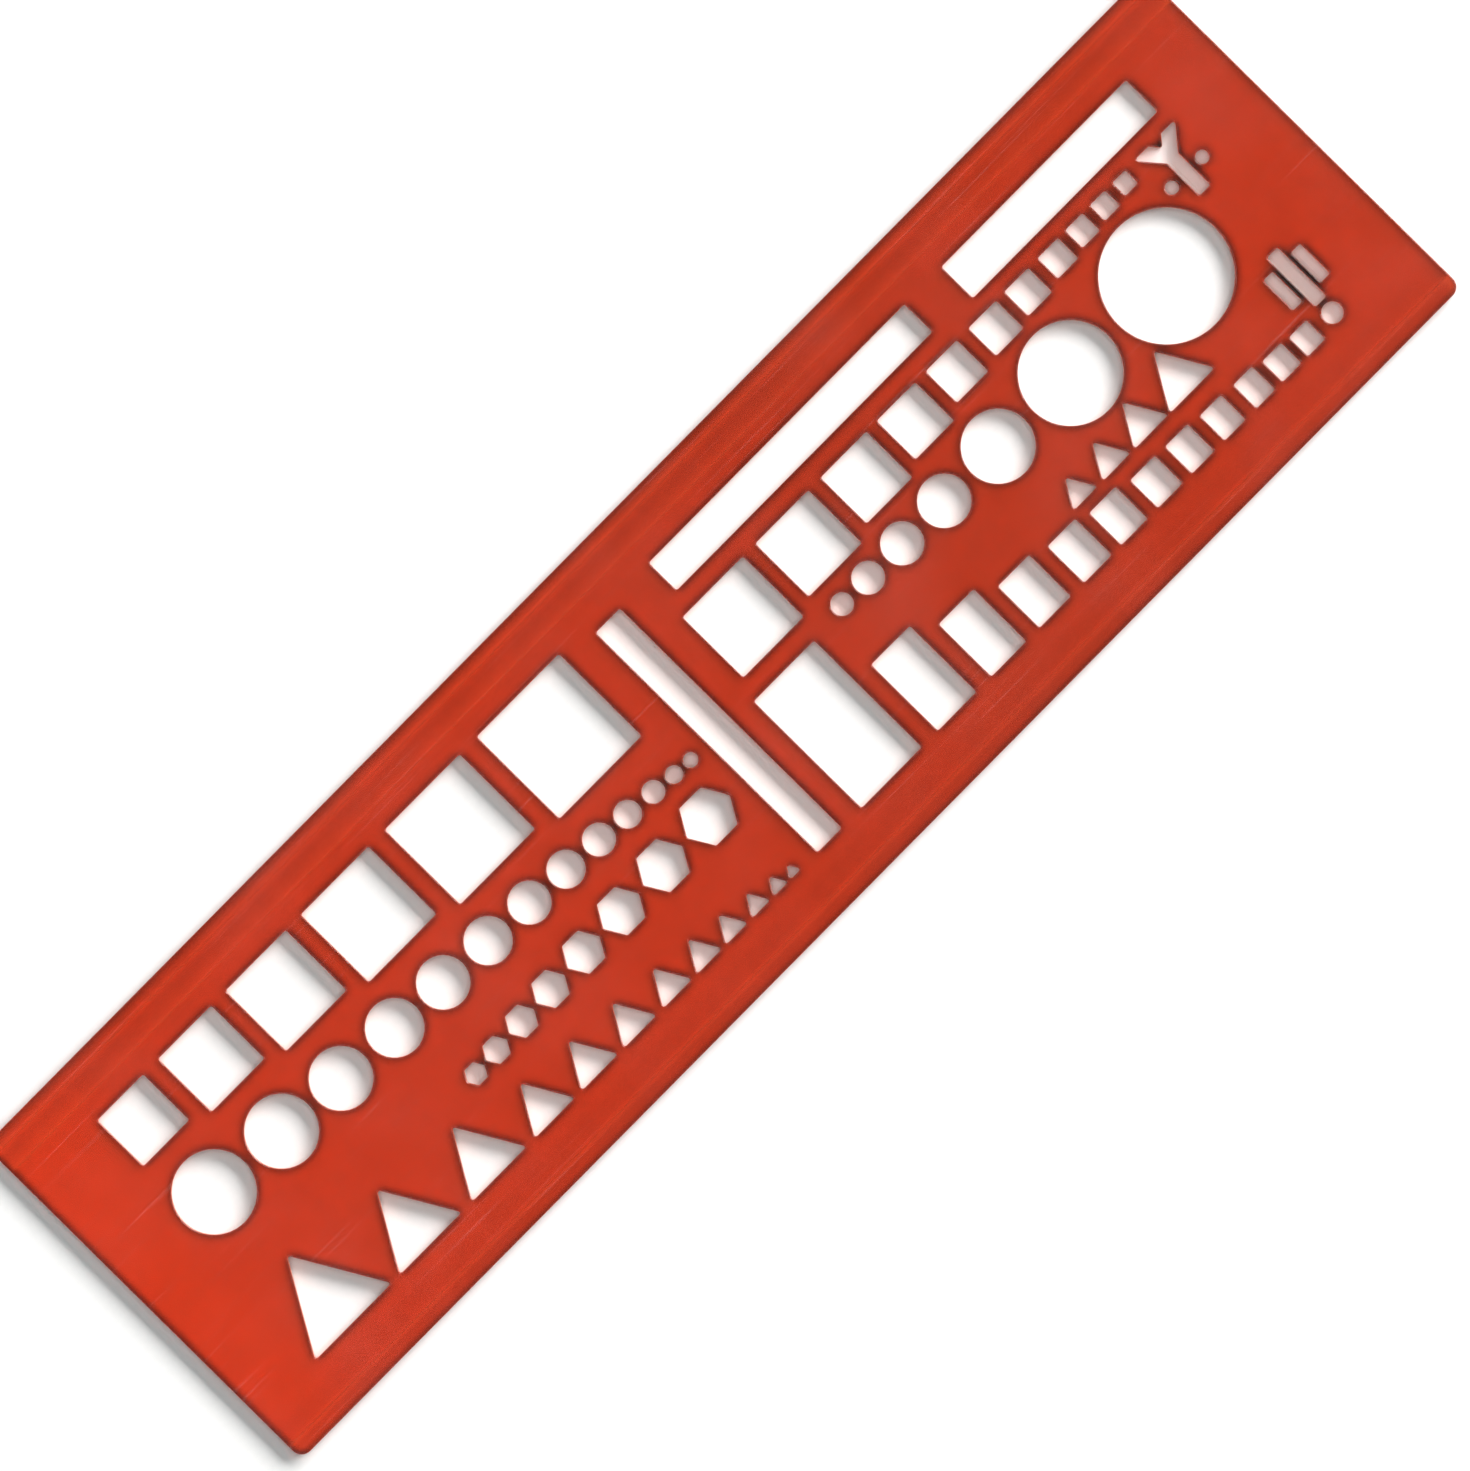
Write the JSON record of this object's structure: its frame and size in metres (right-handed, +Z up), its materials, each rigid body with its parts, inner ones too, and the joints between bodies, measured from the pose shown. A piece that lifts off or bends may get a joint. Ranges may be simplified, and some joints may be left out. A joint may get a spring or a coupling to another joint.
{
  "type": "map symbol template",
  "caption": "Thin see-through drafting sheet pierced with graded squares, circles, hexagons, triangles, rectangles, slots and signs, for drawing map symbols with a pen.",
  "frame": {"origin": "under the middle of the sheet, on the paper that it lies on", "axes": "+X along the sheet from the large left squares to the forked sign, +Y across it from the lowest row up to the squares, +Z up from the paper"},
  "size_m": [0.16, 0.0434, 0.0015],
  "materials": {
    "sheet": "see-through orange-red moulded plastic with polished faces"
  },
  "bodies": {
    "root": {"template_sheet": "sheet"}
  },
  "joints": []
}
